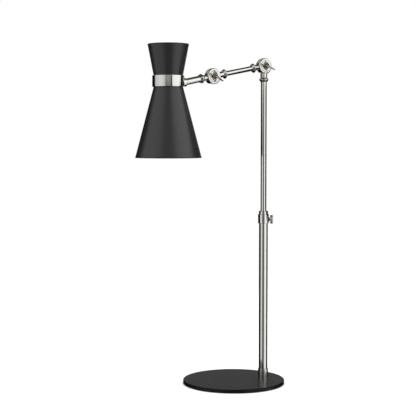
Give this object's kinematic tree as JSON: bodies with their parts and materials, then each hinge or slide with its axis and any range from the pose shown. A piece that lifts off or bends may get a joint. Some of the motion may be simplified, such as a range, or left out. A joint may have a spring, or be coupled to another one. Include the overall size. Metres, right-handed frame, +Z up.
{
  "type": "adjustable table lamp",
  "caption": "Table lamp with a round base, a sliding pole with a screw clamp, a short arm on two knuckle joints with wing keys, and a black hourglass shade in a metal band.",
  "frame": {"origin": "centre of the base's underside, on the surface that the lamp stands on", "axes": "+Z up; +X from the base's centre to the pole, so the arm and the shade reach towards -X; -Y is the side that the wing keys face"},
  "size_m": [0.3342, 0.2136, 0.705],
  "materials": {
    "black_paint": "satin",
    "nickel": "satin",
    "zinc_steel": "satin",
    "brass": "satin",
    "nylon": "matte",
    "phenolic": "satin",
    "porcelain": "satin",
    "pad": "matte",
    "frosted_glass": "matte"
  },
  "bodies": {
    "base": {"base_plate": "black_paint", "base_pad": "pad", "cord_inlet_liner": "phenolic", "foot_plug": "zinc_steel", "foot_screws": "zinc_steel", "foot_collar": "nickel", "lower_tube": "nickel", "clamp_collar": "nickel", "clamp_cap": "nickel", "guide_bush": "nylon", "clamp_shoe": "nylon"},
    "clamp_knob": {"clamp_knob": "nickel", "clamp_screw": "zinc_steel"},
    "slider": {"guide_ring": "nylon"},
    "mast": {"upper_tube": "nickel", "end_plug": "zinc_steel", "retaining_ring": "zinc_steel", "mast_ferrule": "nickel", "mast_joint_half": "nickel", "elbow_bezel": "nickel", "elbow_spring_washer": "brass", "elbow_friction_disc": "phenolic"},
    "elbow_key": {"elbow_key": "nickel", "elbow_bolt": "brass"},
    "arm": {"arm_rear_half": "nickel", "elbow_nut": "zinc_steel", "elbow_rear_cap": "nickel", "arm_upper_ferrule": "nickel", "arm_tube": "nickel", "arm_lower_ferrule": "nickel", "arm_front_half": "nickel", "tilt_bezel": "nickel", "tilt_spring_washer": "brass", "tilt_friction_disc": "phenolic"},
    "tilt_key": {"tilt_key": "nickel", "tilt_bolt": "brass"},
    "head": {"head_joint_half": "nickel", "tilt_nut": "zinc_steel", "tilt_rear_cap": "nickel", "head_ferrule": "nickel", "head_tube": "nickel", "band_boss": "nickel", "boss_nipple": "zinc_steel", "boss_washer": "zinc_steel", "boss_nut": "zinc_steel", "shade_band": "nickel", "lower_shade": "black_paint", "upper_shade": "black_paint", "flange_screws": "zinc_steel", "flange_nuts": "zinc_steel", "shade_ring": "phenolic", "lampholder_body": "phenolic", "lampholder_core": "porcelain", "lampholder_shell": "brass", "lampholder_contact": "brass", "lampholder_cap": "phenolic", "bulb_cap": "zinc_steel", "bulb_glass": "frosted_glass"}
  },
  "joints": [
    {"name": "height_slide", "type": "slide", "parent": "base", "child": "slider", "axis": [0, 0, 1], "range_m": [-0.228, 0.045]},
    {"name": "mast_swivel", "type": "hinge", "parent": "slider", "child": "mast", "pos_m": [0.0766, 0, 0.2645], "axis": [0, 0, 1], "range_deg": [-170, 170]},
    {"name": "elbow", "type": "hinge", "parent": "mast", "child": "arm", "pos_m": [0.0766, 0, 0.6686], "axis": [0, 1, 0], "range_deg": [-30, 90]},
    {"name": "shade_tilt", "type": "hinge", "parent": "arm", "child": "head", "pos_m": [-0.05337, 0, 0.64334], "axis": [0, -1, 0], "range_deg": [-90, 45]},
    {"name": "elbow_key_turn", "type": "hinge", "parent": "mast", "child": "elbow_key", "pos_m": [0.0766, 0, 0.6686], "axis": [0, -1, 0], "range_deg": [0, 180]},
    {"name": "tilt_key_turn", "type": "hinge", "parent": "arm", "child": "tilt_key", "pos_m": [-0.05337, 0, 0.64334], "axis": [0, -1, 0], "range_deg": [0, 180]},
    {"name": "clamp_turn", "type": "hinge", "parent": "base", "child": "clamp_knob", "pos_m": [0.0766, 0, 0.3434], "axis": [0.8358, -0.549, 0], "range_deg": [0, 360]}
  ]
}
